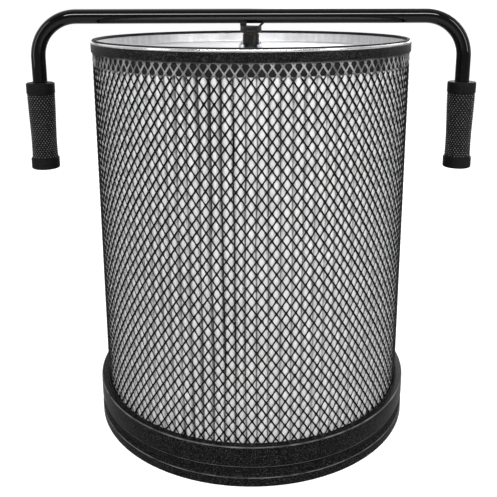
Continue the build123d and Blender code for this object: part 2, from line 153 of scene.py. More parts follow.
def surface(name, tones, roughness, metal=0.0, patch=40.0, stretch=(1, 1, 1), grain=900.0,
            bump=0.0, depth=0.0002, speck=0.0, wave=0.0, stops=(0.34, 0.66), **gloss):
    """A finish whose tone and roughness wander in patches, with a fine grain cut into it.

    patch and grain are the counts of features per metre, and speck is how much the grain shows
    in the tone. depth and wave are how high the grain and a slow swell stand, in metres.
    """
    material = bpy.data.materials.new(name)
    material.use_nodes = True
    tree = material.node_tree
    shader = tree.nodes["Principled BSDF"]
    place = add(tree, "ShaderNodeTexCoord").outputs["Object"]
    drawn = add(tree, "ShaderNodeMapping", {"Vector": place, "Scale": stretch}).outputs[0]
    patches = add(tree, "ShaderNodeTexNoise", {"Vector": drawn, "Scale": patch, "Detail": 6.0,
                                               "Roughness": 0.6}).outputs["Fac"]
    fine = add(tree, "ShaderNodeTexNoise", {"Vector": drawn, "Scale": grain, "Detail": 5.0,
                                            "Roughness": 0.65}).outputs["Fac"]
    mixed = add(tree, "ShaderNodeMix", {0: 0.35 + speck, 2: patches, 3: fine}, data_type="FLOAT").outputs[0]
    ramp = add(tree, "ShaderNodeValToRGB", {"Fac": mixed})
    for stop, spot, tone in zip(ramp.color_ramp.elements, stops, tones):
        stop.position = spot
        stop.color = (*tone, 1.0) if isinstance(tone, tuple) else (tone, tone, tone, 1.0)
    tree.links.new(ramp.outputs["Color"], shader.inputs["Base Color"])
    rough = add(tree, "ShaderNodeMapRange", {"Value": mixed, "From Min": 0.3, "From Max": 0.7,
                                             "To Min": roughness[0], "To Max": roughness[1]}).outputs[0]
    tree.links.new(rough, shader.inputs["Roughness"])
    shader.inputs["Metallic"].default_value = metal
    for key, value in gloss.items():
        shader.inputs[key.replace("_", " ")].default_value = value
    if bump:
        relief = add(tree, "ShaderNodeBump", {"Height": fine, "Strength": bump, "Distance": depth})
        if wave:
            swell = add(tree, "ShaderNodeTexNoise", {"Vector": drawn, "Scale": patch / 4}).outputs["Fac"]
            slow = add(tree, "ShaderNodeBump", {"Height": swell, "Strength": 1.0, "Distance": wave})
            tree.links.new(slow.outputs[0], relief.inputs["Normal"])
        tree.links.new(relief.outputs[0], shader.inputs["Normal"])
    return material


def painted_highlight_band(material, tone, reach, *heights):
    """Lays a painted highlight on a dark finish: a lighter tone, patchily, round some heights in mm."""
    tree = material.node_tree
    shader = tree.nodes["Principled BSDF"]
    coat = shader.inputs["Base Color"].links[0].from_socket
    place = add(tree, "ShaderNodeTexCoord").outputs["Object"]
    height = add(tree, "ShaderNodeSeparateXYZ", {0: place}).outputs["Z"]
    highlight_share = 0.0
    for middle in heights:
        away = calc(tree, "ABSOLUTE", calc(tree, "SUBTRACT", height, middle * MM))
        near = add(tree, "ShaderNodeMapRange", {"Value": away, "From Min": reach * MM,
                                                "From Max": reach * MM / 2,
                                                "To Min": 0.0, "To Max": 1.0}).outputs[0]
        highlight_share = calc(tree, "MAXIMUM", highlight_share, near)
    patchy = add(tree, "ShaderNodeTexNoise", {"Vector": place, "Scale": 45.0, "Detail": 4.0}).outputs["Fac"]
    highlight_patchiness = add(tree, "ShaderNodeMapRange", {"Value": patchy, "From Min": 0.36, "From Max": 0.62,
                                            "To Min": 0.25, "To Max": 1.0}).outputs[0]
    highlit_colour = add(tree, "ShaderNodeMix", {0: calc(tree, "MULTIPLY", highlight_share, highlight_patchiness), 6: coat,
                                        7: (tone, tone, tone, 1.0)}, data_type="RGBA").outputs[2]
    tree.links.new(highlit_colour, shader.inputs["Base Color"])


powder_coat = {"tones": (0.0012, 0.055), "roughness": (0.32, 0.48), "patch": 200.0, "grain": 560.0,
               "bump": 0.4, "depth": 0.0003, "speck": 0.6, "stops": (0.50, 0.70)}
powder_black = surface("powder_black", Specular_IOR_Level=0.08, **powder_coat)
ring_black = surface("ring_black", Specular_IOR_Level=0.05, **powder_coat)
shoulder_edge, groove_edge, lip_edge = base_height - 1.0, groove_high - 0.2, groove_low - 0.5
# Painted highlights: lighter lines round the edges of the shoulder, the groove and the lip stand in for
# light caught on the bends.
painted_highlight_band(ring_black, 0.13, 0.9, shoulder_edge, groove_edge, lip_edge)

wall = base_reach - base_sheet / 2
shoulder = base_height - base_sheet / 2
groove = wall - groove_depth
slope = groove_depth / 2
base_line = [
    (channel_inside, base_height),
    (channel_inside, channel_floor),
    (channel_outside, channel_floor),
    (channel_outside, shoulder),
    (wall, shoulder),
    (wall, groove_high),
    (groove, groove_high - slope),
    (groove, groove_low + slope),
    (wall, groove_low),
    (wall, 0.0),
]
base_mesh = turned("base_ring_sheet", bent_sheet(base_line, base_sheet, base_bend))
placed("base_ring_sheet", finish_mesh(base_mesh, ring_black), "canister", "powder_black", "base_ring")


# ---- Gasket, crossbar and lower bearing ----
# A flat foam rubber gasket is glued under the channel. A zinc plated bar with a boss for the
# brass bush is riveted across the opening, and the shaft's lower end turns in it. The brass is
# set much darker than clean brass.

gasket_rubber = surface("gasket_rubber", (0.006, 0.014), (0.8, 0.95), patch=300.0, grain=1400.0,
                        bump=0.6, depth=0.0003)
zinc_steel = surface("zinc_steel", ((0.42, 0.43, 0.45), (0.66, 0.67, 0.69)), (0.26, 0.42), metal=1.0,
                     patch=90.0, grain=1100.0, bump=0.15, depth=0.0001)
bearing_brass = surface("bearing_brass", ((0.030, 0.026, 0.020), (0.055, 0.047, 0.036)), (0.35, 0.5),
                        metal=1.0, patch=120.0, grain=1500.0, bump=0.2, depth=0.0001)


def dressed(material, *nodes):
    """Gives CAD nodes that keep their own shape their finish."""
    for name in nodes:
        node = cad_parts[name]
        if not node.data.materials:
            node.data.materials.append(None)
        for place in node.material_slots:
            place.material = material


dressed(gasket_rubber, "base_gasket")
dressed(zinc_steel, "bottom_crossbar", "crossbar_rivets")
dressed(bearing_brass, "lower_bush")


# ---- Potting ----
# Dark resin poured into the base channel and under the lid. It sets round the ends of the
# pleats and seals them, and it shows as a dark zone behind the top of the cage.

potting_resin = surface("potting_resin", (0.003, 0.010), (0.45, 0.7), patch=60.0, grain=500.0,
                        bump=0.35, depth=0.0004, Specular_IOR_Level=0.15)
dressed(potting_resin, "bottom_potting", "top_potting")


# ---- Filter pleats ----
# One long strip of stiff spun polyester, pleated, joined end to end and stood in the potting.
# The folds are round, lean this way and that, and stand open in some places and shut in others.

PLEATS = 96
pleat_low, pleat_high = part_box("filter_pleats")[0].z / MM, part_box("filter_pleats")[1].z / MM
pleat_rows = 12
media = 0.9
# (distance from the pleat's middle, radius, how far that point moves as the gap opens)
half_fold = [
    (0.0, 237.3, 0.0), (2.3, 237.2, 0.3), (4.4, 236.7, 0.6), (5.8, 235.7, 0.85), (6.7, 234.0, 1.0),
    (7.05, 231.6, 1.0), (6.95, 227.0, 0.9), (6.0, 219.0, 0.6), (4.5, 211.5, 0.3), (3.0, 205.0, 0.1),
    (1.8, 201.0, 0.0), (1.5, 198.2, 0.0), (2.7, 196.6, 0.0), (4.3, 195.95, 0.0), (6.408, 195.8, 0.0),
]


def sockets(tree, geometry=True, **sizes):
    """A node tree's inputs and output by name, and the node that the inputs come from."""
    if geometry:
        tree.interface.new_socket("Geometry", in_out="INPUT", socket_type="NodeSocketGeometry")
    for name, value in sizes.items():
        kind = "NodeSocketInt" if isinstance(value, int) else "NodeSocketFloat"
        made = tree.interface.new_socket(name.replace("_", " "), in_out="INPUT", socket_type=kind)
        made.default_value = value
    tree.interface.new_socket("Geometry", in_out="OUTPUT", socket_type="NodeSocketGeometry")
    return tree.nodes.new("NodeGroupInput").outputs


def closed_tree(tree, result, material):
    """Ends a tree with its material and its output."""
    last = add(tree, "GeometryNodeSetMaterial", {"Geometry": result, "Material": material}).outputs[0]
    add(tree, "NodeGroupOutput", {"Geometry": last})


def grown(name, tree, start, **sizes):
    """The plain mesh that a tree makes from a starting mesh, with its named sizes filled in."""
    stock = bpy.data.objects.new(name + "_stock", start)
    bpy.context.scene.collection.objects.link(stock)
    grower = stock.modifiers.new("grow", "NODES")
    grower.node_group = tree
    for item in tree.interface.items_tree:
        if item.in_out == "INPUT" and item.name.replace(" ", "_") in sizes:
            grower[item.identifier] = sizes[item.name.replace(" ", "_")]
    ready = stock.evaluated_get(bpy.context.evaluated_depsgraph_get())
    mesh = bpy.data.meshes.new_from_object(ready)
    mesh.name = name
    bpy.data.objects.remove(stock)
    return mesh


def one_pleat():
    """A single pleat of the strip, both faces, from the middle of one valley to the next."""
    line = [(-u, r, -w) for u, r, w in half_fold[:0:-1]] + half_fold
    faces_of = ([], [])
    for place, (u, r, w) in enumerate(line):
        before, after = line[max(place - 1, 0)], line[min(place + 1, len(line) - 1)]
        along = Vector((after[0] - before[0], after[1] - before[1])).normalized()
        if place in (0, len(line) - 1):
            along = Vector((1.0, 0.0))
        inward = Vector((along.y, -along.x)) * media
        faces_of[0].append((u / r, r, w))
        faces_of[1].append(((u + inward.x) / r, r + inward.y, w))
    edge = pi / PLEATS  # half the angle from one pleat to the next
    for side in faces_of:
        side[0] = (-edge, *side[0][1:])
        side[-1] = (edge, *side[-1][1:])
    outline = faces_of[0] + faces_of[1][::-1]
    n = len(outline)
    corners, weights = [], []
    for row in range(pleat_rows + 1):
        z = pleat_low + (pleat_high - pleat_low) * row / pleat_rows
        for angle, r, w in outline:
            corners.append((r * sin(angle) * MM, -r * cos(angle) * MM, z * MM))
            weights.append(w)
    half = n // 2
    faces = []
    for row in range(pleat_rows):
        here, up = row * n, (row + 1) * n
        for k in [*range(half - 1), *range(half, n - 1)]:
            faces.append((here + k, here + k + 1, up + k + 1, up + k))
    for row in (0, pleat_rows):
        for k in range(half - 1):
            ring = [row * n + k, row * n + k + 1, row * n + n - 2 - k, row * n + n - 1 - k]
            faces.append(ring if row else ring[::-1])
    mesh = bpy.data.meshes.new("one_pleat")
    mesh.from_pydata(corners, [], faces)
    mesh.attributes.new("opening", "FLOAT", "POINT").data.foreach_set("value", weights)
    return mesh


filter_media = surface("filter_media", (0.50, 0.70), (0.75, 0.95), patch=70.0, grain=1300.0,
                       bump=0.6, depth=0.0003, stretch=(1, 1, 0.6), Specular_IOR_Level=0.3)

pleating = bpy.data.node_groups.new("pleating", "GeometryNodeTree")
given = sockets(pleating, Pleats=PLEATS, Shut=-0.0005, Open=0.0019, Open_Side=-0.47, Lean=0.0022,
                Seed=3.0)
stations = add(pleating, "GeometryNodePoints", {"Count": given["Pleats"]}).outputs[0]
number = add(pleating, "GeometryNodeInputIndex").outputs[0]
spacing = calc(pleating, "DIVIDE", 2 * pi, given["Pleats"])
turn = calc(pleating, "MULTIPLY", number, spacing)
turned_by = add(pleating, "ShaderNodeCombineXYZ", {"Z": turn}).outputs[0]
row_of_folds = add(pleating, "GeometryNodeInstanceOnPoints",
                   {"Points": stations, "Instance": given["Geometry"], "Rotation": turned_by}).outputs[0]
numbered = add(pleating, "GeometryNodeStoreNamedAttribute",
               {"Geometry": row_of_folds, "Name": "turn", "Value": turn},
               data_type="FLOAT", domain="INSTANCE").outputs[0]
strip = add(pleating, "GeometryNodeRealizeInstances", {"Geometry": numbered}).outputs[0]
place = add(pleating, "GeometryNodeInputPosition").outputs[0]
apart = add(pleating, "ShaderNodeSeparateXYZ", {"Vector": place}).outputs
own_turn = add(pleating, "GeometryNodeInputNamedAttribute", {"Name": "turn"},
               data_type="FLOAT").outputs[0]
opening = add(pleating, "GeometryNodeInputNamedAttribute", {"Name": "opening"},
              data_type="FLOAT").outputs[0]
# Each pleat opens and shuts in its own way up its height, and more on one side of the canister.
own = add(pleating, "ShaderNodeCombineXYZ",
          {"X": calc(pleating, "MULTIPLY", own_turn, 60.0),
           "Y": calc(pleating, "MULTIPLY", apart["Z"], 5.0), "Z": given["Seed"]}).outputs[0]
own_noise = add(pleating, "ShaderNodeTexNoise",
                {"Vector": own, "Scale": 1.0, "Detail": 1.0}).outputs["Fac"]
facing = calc(pleating, "COSINE", calc(pleating, "SUBTRACT", own_turn, given["Open Side"]))
widest = add(pleating, "ShaderNodeMapRange", {"Value": facing, "From Min": 0.86, "From Max": 0.98,
                                              "To Min": -0.0001, "To Max": given["Open"]}).outputs[0]
gap = add(pleating, "ShaderNodeMapRange", {"Value": own_noise, "From Min": 0.32, "From Max": 0.68,
                                           "To Min": given["Shut"], "To Max": widest}).outputs[0]
inwards = calc(pleating, "MULTIPLY", calc(pleating, "MULTIPLY", gap, opening), -1.0)
# The strip as a whole wanders sideways with height, outer folds more than inner ones.
where = add(pleating, "ShaderNodeVectorMath", {0: place, 1: (36.0, 36.0, 8.0)},
            operation="MULTIPLY").outputs[0]
drift = add(pleating, "ShaderNodeTexNoise", {"Vector": where, "Scale": 1.0, "Detail": 2.0}).outputs["Fac"]
level = add(pleating, "ShaderNodeVectorMath", {0: place, 1: (1.0, 1.0, 0.0)},
            operation="MULTIPLY").outputs[0]
reach = add(pleating, "ShaderNodeVectorMath", {0: level}, operation="LENGTH").outputs[1]
outer_share = add(pleating, "ShaderNodeMapRange", {"Value": reach, "From Min": 0.200,
                                                   "From Max": 0.236}).outputs[0]
sideways = calc(pleating, "MULTIPLY", calc(pleating, "SUBTRACT", drift, 0.5), outer_share)
lean = calc(pleating, "MULTIPLY", sideways, calc(pleating, "MULTIPLY", given["Lean"], 4.0))
slide = calc(pleating, "DIVIDE", calc(pleating, "ADD", inwards, lean), reach)
swung = add(pleating, "ShaderNodeVectorRotate", {"Vector": place, "Angle": slide},
            rotation_type="Z_AXIS").outputs[0]
moved = add(pleating, "GeometryNodeSetPosition", {"Geometry": strip, "Position": swung}).outputs[0]
joined = add(pleating, "GeometryNodeMergeByDistance", {"Geometry": moved, "Distance": 0.00005}).outputs[0]
closed_tree(pleating, joined, filter_media)

pleat_mesh = grown("pleated_media", pleating, one_pleat())
finish_mesh(pleat_mesh, filter_media, sharp=60)
placed("pleated_media", pleat_mesh, "canister", "filter_media", "filter_pleats")


# ---- Cage ----
# A tube rolled from dull zinc-coated expanded mesh guards the pleats. Its ends stand in the channel
# and the band, and a flat strip is spot welded behind the seam. The finish here is far darker than
# zinc, a painted shade so that the strands stand out from the pleats, and lighter at the top, over the
# potting: a painted highlight.

cage_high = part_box("outer_mesh")[1].z / MM
cage_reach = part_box("outer_mesh")[1].x / MM
cage_sheet = 1.2
net_reach = cage_reach - cage_sheet / 2
cells_round = 114
cell_width = 2 * pi * net_reach / cells_round
cell_height = 18.64
half_rows = 57
margin_bottom = 583.0
net_low = margin_bottom - (half_rows - 0.5) * cell_height / 2
strand = 1.9
strand_sheet = 0.8
strand_lean = 0.45


def one_crossing():
    """Where four strands meet: a knot with half of each strand, open at the strands' ends."""
    ends = Vector((cell_width / 4, cell_height / 4))
    along = ends.normalized()
    across = Vector((along.y, -along.x)) * strand / 2
    fuller_up, fuller_across = 1.15, 1.25
    up = strand / 2 / along.x * fuller_up
    side = strand / 2 / along.y * fuller_across
    right_up, right_down = ends - across, ends + across
    lean = strand_lean
    outline = [
        (0.0, up, lean),
        (right_up.x, right_up.y, lean), (right_down.x, right_down.y, -lean),
        (side, 0.0, 0.0),
        (right_down.x, -right_down.y, lean), (right_up.x, -right_up.y, -lean),
        (0.0, -up, -lean),
        (-right_up.x, -right_up.y, -lean), (-right_down.x, -right_down.y, lean),
        (-side, 0.0, 0.0),
        (-right_down.x, right_down.y, -lean), (-right_up.x, right_up.y, lean),
    ]
    n = len(outline)
    corners = [(x * MM, -(tilt + side * strand_sheet / 2) * MM, z * MM)
               for side in (1, -1) for x, z, tilt in outline]
    faces = []
    for arm in ((0, 1, 2, 3), (3, 4, 5, 6), (6, 7, 8, 9), (9, 10, 11, 0)):
        faces.append(arm[::-1])
        faces.append(tuple(n + k for k in arm))
    faces.append((9, 6, 3, 0))
    faces.append((n, n + 3, n + 6, n + 9))
    for k in range(n):
        if k % 3 != 1:
            faces.append((k, (k + 1) % n, n + (k + 1) % n, n + k))
    mesh = bpy.data.meshes.new("one_crossing")
    mesh.from_pydata(corners, [], faces)
    return mesh


cage_steel = surface("cage_steel", (0.001, 0.007), (0.36, 0.52), patch=150.0, grain=1200.0,
                     bump=0.15, depth=0.0001, Specular_IOR_Level=0.07)
# Painted highlight: the strands are drawn lighter round a height 20 mm below the cage's top.
highlight_height = cage_high - 20.0
painted_highlight_band(cage_steel, 0.30, 11.0, highlight_height)

expanding = bpy.data.node_groups.new("expanding", "GeometryNodeTree")
given = sockets(expanding, Across=cells_round // 2, Rows=half_rows, Pitch=cell_width * MM,
                Row_Height=cell_height / 2 * MM, Reach=net_reach * MM, Low=net_low * MM, Middle=0.0)
sheet_wide = calc(expanding, "MULTIPLY", calc(expanding, "SUBTRACT", given["Across"], 1.0),
                  given["Pitch"])
sheet_tall = calc(expanding, "MULTIPLY", calc(expanding, "SUBTRACT", given["Rows"], 1.0),
                  given["Row Height"])
knots = add(expanding, "GeometryNodeMeshGrid",
            {"Size X": sheet_wide, "Size Y": sheet_tall, "Vertices X": given["Across"],
             "Vertices Y": given["Rows"]}).outputs["Mesh"]
on_flat = add(expanding, "GeometryNodeInputPosition").outputs[0]
flat = add(expanding, "ShaderNodeSeparateXYZ", {0: on_flat}).outputs
height = calc(expanding, "ADD", flat["Y"], calc(expanding, "DIVIDE", sheet_tall, 2.0))
row = calc(expanding, "ROUND", calc(expanding, "DIVIDE", height, given["Row Height"]))
stagger = calc(expanding, "MULTIPLY", calc(expanding, "MODULO", row, 2.0),
               calc(expanding, "DIVIDE", given["Pitch"], 2.0))
bend_angle = calc(expanding, "ADD", given["Middle"],
                  calc(expanding, "DIVIDE", calc(expanding, "ADD", flat["X"], stagger), given["Reach"]))
spot = add(expanding, "ShaderNodeCombineXYZ",
           {"X": calc(expanding, "MULTIPLY", calc(expanding, "SINE", bend_angle), given["Reach"]),
            "Y": calc(expanding, "MULTIPLY", calc(expanding, "COSINE", bend_angle),
                      calc(expanding, "MULTIPLY", given["Reach"], -1.0)),
            "Z": calc(expanding, "ADD", height, given["Low"])}).outputs[0]
rolled = add(expanding, "GeometryNodeSetPosition", {"Geometry": knots, "Position": spot}).outputs[0]
on_tube = add(expanding, "GeometryNodeInputPosition").outputs[0]
around = add(expanding, "ShaderNodeSeparateXYZ", {0: on_tube}).outputs
facing_out = calc(expanding, "ARCTAN2", around["X"], calc(expanding, "MULTIPLY", around["Y"], -1.0))
net = add(expanding, "GeometryNodeInstanceOnPoints",
          {"Points": rolled, "Instance": given["Geometry"],
           "Rotation": add(expanding, "ShaderNodeCombineXYZ", {"Z": facing_out}).outputs[0]}).outputs[0]
solid_net = add(expanding, "GeometryNodeRealizeInstances", {"Geometry": net}).outputs[0]
welded = add(expanding, "GeometryNodeMergeByDistance",
             {"Geometry": solid_net, "Distance": 0.00008}).outputs[0]
closed_tree(expanding, welded, cage_steel)

for side, middle in (("front", 0.0), ("back", pi)):
    cage_mesh = grown("cage_" + side, expanding, one_crossing(), Middle=middle)
    cage_mesh.materials.clear()
    cage_mesh.materials.append(cage_steel)
    placed("cage_" + side, cage_mesh, "canister", "cage_steel", "outer_mesh")

margin_inside = cage_reach - cage_sheet
margin_line = [(margin_inside, margin_bottom - 1), (cage_reach, margin_bottom - 1),
               (cage_reach, cage_high), (margin_inside, cage_high)]
margin_mesh = turned("cage_top_margin", rounded(margin_line, 0.3, closed=True, steps=2))
placed("cage_top_margin", finish_mesh(margin_mesh, cage_steel), "canister", "cage_steel", "outer_mesh")
dressed(cage_steel, "mesh_seam_strip")


# ---- Lid ----
# A shallow pan pressed from bright sheet steel, brushed along the line of the handle. Its
# upstanding wall fits inside the cage's top, and the bearing housing is bolted through it.

lid_steel = surface("lid_steel", ((0.50, 0.50, 0.51), (0.70, 0.70, 0.71)), (0.38, 0.55), metal=0.9,
                    patch=34.0, stretch=(0.35, 5.0, 1.0), grain=420.0, bump=0.25, depth=0.0001, wave=0.0008)
lid_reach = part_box("lid_plate")[1].x / MM
lid_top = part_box("hub_housing")[0].z / MM
lid_sheet, lid_bend, lid_wall_top, shaft_hole = 1.2, 2.4, 598.8, 9.05
lid_level, lid_wall = lid_top - lid_sheet / 2, lid_reach - lid_sheet / 2
lid_line = [(shaft_hole, lid_level), (lid_wall, lid_level), (lid_wall, lid_wall_top)]
lid_mesh = turned("lid_pan", bent_sheet(lid_line, lid_sheet, lid_bend))
placed("lid_pan", finish_mesh(lid_mesh, lid_steel), "canister", "lid_steel", "lid_plate")


# ---- Band, edging and bead ----
# A black band grips the cage's top edge from outside. A folded rubber edging sits on the lid's
# wall, and a polished steel bead is rolled over the joint between the two.

band_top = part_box("top_band")[1].z / MM
band_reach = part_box("top_band")[1].x / MM
band_tall, band_sheet, band_inside, lip_inside = 12.0, 1.8, 239.7, 238.2
band_line = [(band_inside, band_top - band_tall), (band_reach, band_top - band_tall),
             (band_reach, band_top), (lip_inside, band_top), (lip_inside, band_top - band_sheet),
             (band_inside, band_top - band_sheet)]
band_mesh = turned("top_band_ring", rounded(band_line, (0.3, 0.5, 0.5, 0.3, 0.3, 0), closed=True, steps=3))
placed("top_band_ring", finish_mesh(band_mesh, powder_black), "canister", "powder_black", "top_band")

edging_rubber = surface("edging_rubber", (0.003, 0.008), (0.5, 0.7), patch=200.0, grain=1200.0,
                        bump=0.3, depth=0.0002, Specular_IOR_Level=0.15)
edging_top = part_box("rim_edging")[1].z / MM
edging_inside, slot_inside, slot_outside, edging_outside = 235.6, 236.8, 238.2, 239.3
edging_skirt, slot_top = 597.4, 598.9
edging_line = [(edging_inside, edging_skirt), (slot_inside, edging_skirt), (slot_inside, slot_top),
               (slot_outside, slot_top), (slot_outside, band_top + 0.1), (edging_outside, band_top + 0.1),
               (edging_outside, edging_top), (edging_inside, edging_top)]
edging_mesh = turned("rim_edging_strip",
                     rounded(edging_line, (0.2, 0.2, 0, 0, 0.2, 0.2, 0.9, 0.9), closed=True, steps=4))
finish_mesh(edging_mesh, edging_rubber)
placed("rim_edging_strip", edging_mesh, "canister", "edging_rubber", "rim_edging")

bead_steel = surface("bead_steel", ((0.62, 0.62, 0.63), (0.80, 0.80, 0.81)), (0.16, 0.3), metal=1.0,
                     patch=60.0, grain=900.0, bump=0.08, depth=0.0001)
bead_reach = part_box("lid_bead")[1].x / MM
bead_inside, bead_tall, bead_round = 239.4, 4.0, 1.7
bead_line = [(bead_inside, band_top), (bead_reach, band_top), (bead_reach, band_top + bead_tall),
             (bead_inside, band_top + bead_tall)]
bead_mesh = turned("rim_bead", rounded(bead_line, (0, bead_round, bead_round, 0), closed=True, steps=7))
placed("rim_bead", finish_mesh(bead_mesh, bead_steel), "canister", "bead_steel", "lid_bead")


# ---- Bearing housing ----
# A turned post on a square flange, painted satin black, with a brass bush pressed in. Four
# zinc plated studs come up through the lid's backing plate, each with a washer and a nut.

hub_black = surface("hub_black", (0.001, 0.010), (0.25, 0.4), patch=120.0, grain=700.0,
                    bump=0.3, depth=0.0002, Specular_IOR_Level=0.2)
flange_side, flange_thick, post_side, bore_side = 38.0, 4.0, 25.0, 18.1
weld_wide, weld_tall = 2.2, 3.2
post_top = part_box("hub_housing")[1].z / MM


def bevelled(shape, width, least=30):
    """Bevels the shape's edges that turn by more than that many degrees."""
    sharp = [e for e in shape.edges if e.is_manifold and e.calc_face_angle() > radians(least)]
    bmesh.ops.bevel(shape, geom=sharp, offset=width * MM, segments=2, affect="EDGES", profile=0.5)


def prism(name, outline, low, high, bevel):
    """A bevelled prism standing on end on a closed outline in mm."""
    shape = bmesh.new()
    foot = [shape.verts.new((x * MM, y * MM, low * MM)) for x, y in outline]
    face = shape.faces.new(foot)
    top = bmesh.ops.extrude_face_region(shape, geom=[face])["geom"]
    for v in top:
        if isinstance(v, bmesh.types.BMVert):
            v.co.z = high * MM
    bmesh.ops.recalc_face_normals(shape, faces=shape.faces)
    bevelled(shape, bevel)
    mesh = bpy.data.meshes.new(name)
    shape.to_mesh(mesh)
    shape.free()
    return mesh


def joined_mesh(name, *meshes):
    """Several meshes as one."""
    shape = bmesh.new()
    for mesh in meshes:
        shape.from_mesh(mesh)
    whole = bpy.data.meshes.new(name)
    shape.to_mesh(whole)
    shape.free()
    return whole


flange_top = lid_top + flange_thick
square = [(x * flange_side / 2, y * flange_side / 2) for x, y in ((-1, -1), (1, -1), (1, 1), (-1, 1))]
flange_mesh = prism("flange", rounded(square, 3.0, closed=True), lid_top, flange_top, 0.5)
post_foot = flange_top - 0.5
weld_reach = post_side / 2 + weld_wide
post_line = [(bore_side / 2, post_foot), (weld_reach, post_foot), (weld_reach, post_foot + 0.8),
             (post_side / 2, post_foot + weld_tall), (post_side / 2, post_top), (bore_side / 2, post_top)]
post_mesh = turned("post", rounded(post_line, (0, 0, 0.4, 2.0, 0.6, 0), closed=True), 96)
housing_mesh = finish_mesh(joined_mesh("bearing_housing", flange_mesh, post_mesh), hub_black)
placed("bearing_housing", housing_mesh, "canister", "hub_black", "hub_housing")

dressed(zinc_steel, "lid_backing_plate")
dressed(bearing_brass, "upper_bush")

# The four sets of fasteners, one tree for all three parts of a set.
stud_spacing = 27.0
four_fold = bpy.data.node_groups.new("four_fold", "GeometryNodeTree")
given = sockets(four_fold, Spacing=stud_spacing * MM, Twist=0.0)
corners_of = add(four_fold, "GeometryNodeMeshGrid",
                 {"Size X": given["Spacing"], "Size Y": given["Spacing"], "Vertices X": 2,
                  "Vertices Y": 2}).outputs["Mesh"]
twist = calc(four_fold, "MULTIPLY", add(four_fold, "GeometryNodeInputIndex").outputs[0], given["Twist"])
sets = add(four_fold, "GeometryNodeInstanceOnPoints",
           {"Points": corners_of, "Instance": given["Geometry"],
            "Rotation": add(four_fold, "ShaderNodeCombineXYZ", {"Z": twist}).outputs[0]}).outputs[0]
whole_sets = add(four_fold, "GeometryNodeRealizeInstances", {"Geometry": sets}).outputs[0]
closed_tree(four_fold, whole_sets, zinc_steel)


def threaded(name, side, low, high):
    """A screw's shank with its thread running up it, closed at both ends."""
    pitch, around, thread_deep, chamfer = 0.8, 20, 0.45, 0.35
    rows = round((high - low) / pitch * 4)
    corners, faces = [], []
    for row in range(rows + 1):
        z = low + (high - low) * row / rows
        for k in range(around):
            turns = (z / pitch - k / around) % 1.0
            r = side / 2 - thread_deep * abs(2 * turns - 1) * (0.6 if row in (0, rows) else 1.0)
            r -= chamfer if row == rows else 0.0
            angle = 2 * pi * k / around
            corners.append((r * cos(angle) * MM, r * sin(angle) * MM, z * MM))
    for row in range(rows):
        for k in range(around):
            j = (k + 1) % around
            here, up = row * around, (row + 1) * around
            faces.append((here + k, here + j, up + j, up + k))
    faces.append(tuple(reversed(range(around))))
    faces.append(tuple(rows * around + k for k in range(around)))
    mesh = bpy.data.meshes.new(name)
    mesh.from_pydata(corners, [], faces)
    return mesh


stud_side = 5.0
stud_low, stud_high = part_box("hub_studs")[0].z / MM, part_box("hub_studs")[1].z / MM
head_side, head_tall = 10.0, 2.5
head_top = stud_low + head_tall
stud_head = [(0, stud_low), (3.2, stud_low), (head_side / 2, stud_low + 1.8), (head_side / 2, head_top),
             (0, head_top)]
stud_start = joined_mesh("stud", threaded("shank", stud_side, head_top, stud_high),
                         finish_mesh(turned("head", stud_head, 32), zinc_steel))
washer_bore, washer_side = 5.1, 9.6
washer_top = flange_top + 1
washer_line = [(washer_bore / 2, flange_top), (washer_side / 2, flange_top), (washer_side / 2, washer_top),
               (washer_bore / 2, washer_top)]
washer_start = turned("washer", rounded(washer_line, (0, 0.25, 0.25, 0), closed=True, steps=2), 40)
nut_flats, nut_tall = 8.0, 4.0
nut_reach = nut_flats / 2 / cos(pi / 6)
hexagon = [(nut_reach * cos(pi * k / 3), nut_reach * sin(pi * k / 3)) for k in range(6)]
nut_start = prism("nut", hexagon, washer_top, washer_top + nut_tall, 0.35)
for name, start, twist_by, node in (("hub_stud_set", stud_start, 0.4, "hub_studs"),
                                    ("hub_washer_set", washer_start, 0.0, "hub_washers"),
                                    ("hub_nut_set", nut_start, radians(13), "hub_nuts")):
    set_mesh = grown(name, four_fold, start, Twist=twist_by)
    placed(name, finish_mesh(set_mesh, zinc_steel, sharp=28), "canister", "zinc_steel", node)


# ---- Shaft, washers and collars ----
# A ground steel shaft runs down through the lid's bush to the crossbar's. Brass washers take
# the end thrust, and a collar with a set screw stops it from lifting.

shaft_steel = surface("shaft_steel", ((0.50, 0.50, 0.51), (0.66, 0.66, 0.67)), (0.18, 0.3), metal=1.0,
                      patch=80.0, stretch=(1, 1, 0.2), grain=1300.0, bump=0.1, depth=0.0001)
screw_black = surface("screw_black", (0.012, 0.03), (0.35, 0.5), metal=0.4, patch=300.0, grain=1600.0,
                      bump=0.2, depth=0.0001)
dressed(shaft_steel, "drive_shaft")
dressed(bearing_brass, "thrust_washers")
dressed(zinc_steel, "retaining_collar")
dressed(screw_black, "retaining_screw", "collar_set_screw", "arm_set_screws")

collar_low, collar_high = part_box("handle_collar")[0].z / MM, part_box("handle_collar")[1].z / MM
collar_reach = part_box("handle_collar")[1].x / MM
collar_hexagon = [(collar_reach * cos(pi * k / 3), collar_reach * sin(pi * k / 3)) for k in range(6)]
collar_mesh = prism("handle_hexagon", collar_hexagon, collar_low, collar_high, 0.7)
finish_mesh(collar_mesh, hub_black, sharp=28)
placed("handle_hexagon", collar_mesh, "sweeper", "hub_black", "handle_collar")
dressed(hub_black, "handle_saddle")


# ---- Handle tube ----
# One length of round steel tube, bent down at both ends, welded to the collar's lug and
# gusset, and finished in gloss black.

